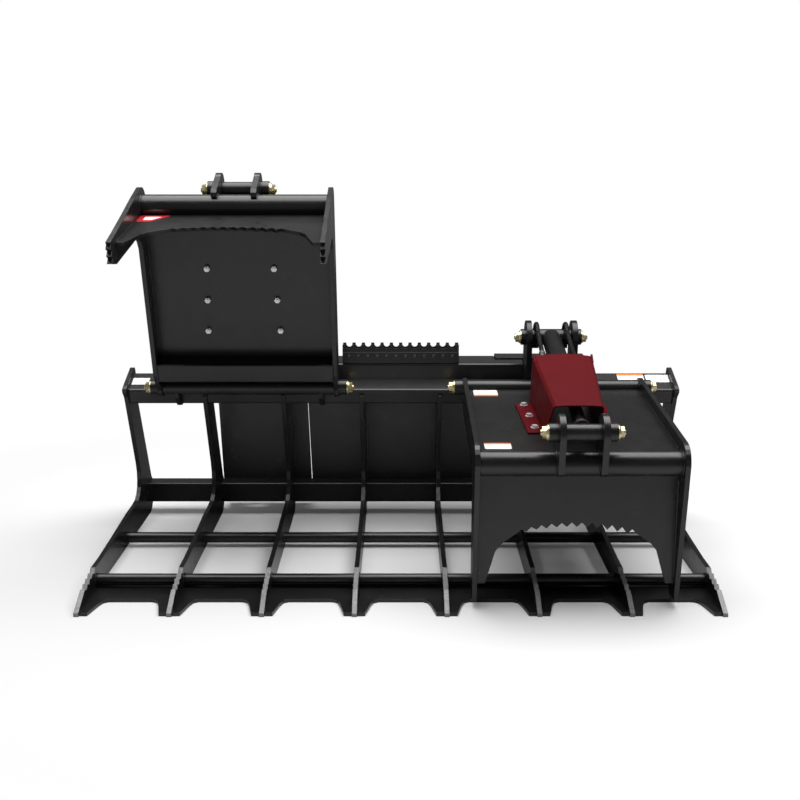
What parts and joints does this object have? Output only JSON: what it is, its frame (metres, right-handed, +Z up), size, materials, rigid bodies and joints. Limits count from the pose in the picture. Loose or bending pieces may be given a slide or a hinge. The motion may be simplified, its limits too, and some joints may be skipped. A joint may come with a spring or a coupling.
{
  "type": "skeleton grapple",
  "caption": "Skeleton grapple with serrated tines, a scalloped cutting lip, two hydraulic lids, a quick attach back and a serrated step.",
  "frame": {"origin": "on the underside of the cutting lip, on the centre line, 155 mm behind the tine tips, at ground level", "axes": "+X to the right as the machine's operator faces the other way round, that is to the right in the picture; +Y back towards the machine; +Z up"},
  "size_m": [1.6764, 1.0399, 1.1068],
  "materials": {
    "black_paint": "satin black powder coat",
    "zinc": "yellow zinc plate",
    "bolt_steel": "bright zinc plate",
    "rod_chrome": "hard chrome plate",
    "red_paint": "satin dark red powder coat",
    "hose_rubber": "matt rubber cover"
  },
  "bodies": {
    "frame": {"tine_1": "black_paint", "tine_2": "black_paint", "tine_3": "black_paint", "tine_4": "black_paint", "tine_5": "black_paint", "tine_6": "black_paint", "tine_7": "black_paint", "tine_8": "black_paint", "top_tube": "black_paint", "lower_tube": "black_paint", "crossbar_front": "black_paint", "crossbar_rear": "black_paint", "cutting_lip": "black_paint", "attach_left": "black_paint", "attach_centre": "black_paint", "attach_right": "black_paint", "rear_gussets": "black_paint", "step_tread": "black_paint", "step_riser": "black_paint", "hinge_tube_left": "black_paint", "hinge_tube_right": "black_paint", "hinge_lugs": "black_paint", "bracket_left": "black_paint", "bracket_right": "black_paint", "base_pins": "zinc", "coupler_block": "black_paint"},
    "left_lid": {"left_side_outer": "black_paint", "left_side_inner": "black_paint", "left_top_plate": "black_paint", "left_front_plate": "black_paint", "left_front_pipe": "black_paint", "left_beam": "black_paint", "left_clevis": "black_paint", "left_shroud": "red_paint", "left_shroud_bolts": "bolt_steel", "left_hinge_pins": "zinc", "left_rod_pin": "zinc"},
    "left_rod": {"left_rod": "rod_chrome", "left_piston": "rod_chrome"},
    "left_barrel": {"left_barrel": "black_paint", "left_gland": "black_paint", "left_hoses": "hose_rubber"},
    "right_lid": {"right_side_outer": "black_paint", "right_side_inner": "black_paint", "right_top_plate": "black_paint", "right_front_plate": "black_paint", "right_front_pipe": "black_paint", "right_beam": "black_paint", "right_clevis": "black_paint", "right_shroud": "red_paint", "right_shroud_bolts": "bolt_steel", "right_hinge_pins": "zinc", "right_rod_pin": "zinc"},
    "right_rod": {"right_rod": "rod_chrome", "right_piston": "rod_chrome"},
    "right_barrel": {"right_barrel": "black_paint", "right_gland": "black_paint", "right_hoses": "hose_rubber"}
  },
  "joints": [
    {"name": "left_lid_hinge", "type": "hinge", "parent": "frame", "child": "left_lid", "pos_m": [-0.4543, 0.46, 0.4743], "axis": [-1, 0, 0], "range_deg": [-80, 0]},
    {"name": "left_rod_pivot", "type": "hinge", "parent": "left_lid", "child": "left_rod", "pos_m": [-0.4543, 0.36336, 1.05981], "axis": [-1, 0, 0], "range_deg": [-1.47, 0]},
    {"name": "left_rod_slide", "type": "slide", "parent": "left_rod", "child": "left_barrel", "axis": [0, -0.3443, 0.9389], "range_m": [-0.20079, 0]},
    {"name": "right_lid_hinge", "type": "hinge", "parent": "frame", "child": "right_lid", "pos_m": [0.4543, 0.46, 0.4743], "axis": [-1, 0, 0], "range_deg": [0, 80]},
    {"name": "right_rod_pivot", "type": "hinge", "parent": "right_lid", "child": "right_rod", "pos_m": [0.4543, -0.1334, 0.4808], "axis": [-1, 0, 0], "range_deg": [0, 1.47]},
    {"name": "right_rod_slide", "type": "slide", "parent": "right_rod", "child": "right_barrel", "axis": [0, -0.9795, -0.2013], "range_m": [0, 0.20079]}
  ],
  "couplings": [
    {"joint": "left_rod_pivot", "follows": "left_lid_hinge", "ratio": 0.018419},
    {"joint": "left_rod_slide", "follows": "left_lid_hinge", "m_per_rad": 0.1438},
    {"joint": "right_rod_pivot", "follows": "right_lid_hinge", "ratio": 0.018419},
    {"joint": "right_rod_slide", "follows": "right_lid_hinge", "m_per_rad": 0.1438}
  ]
}
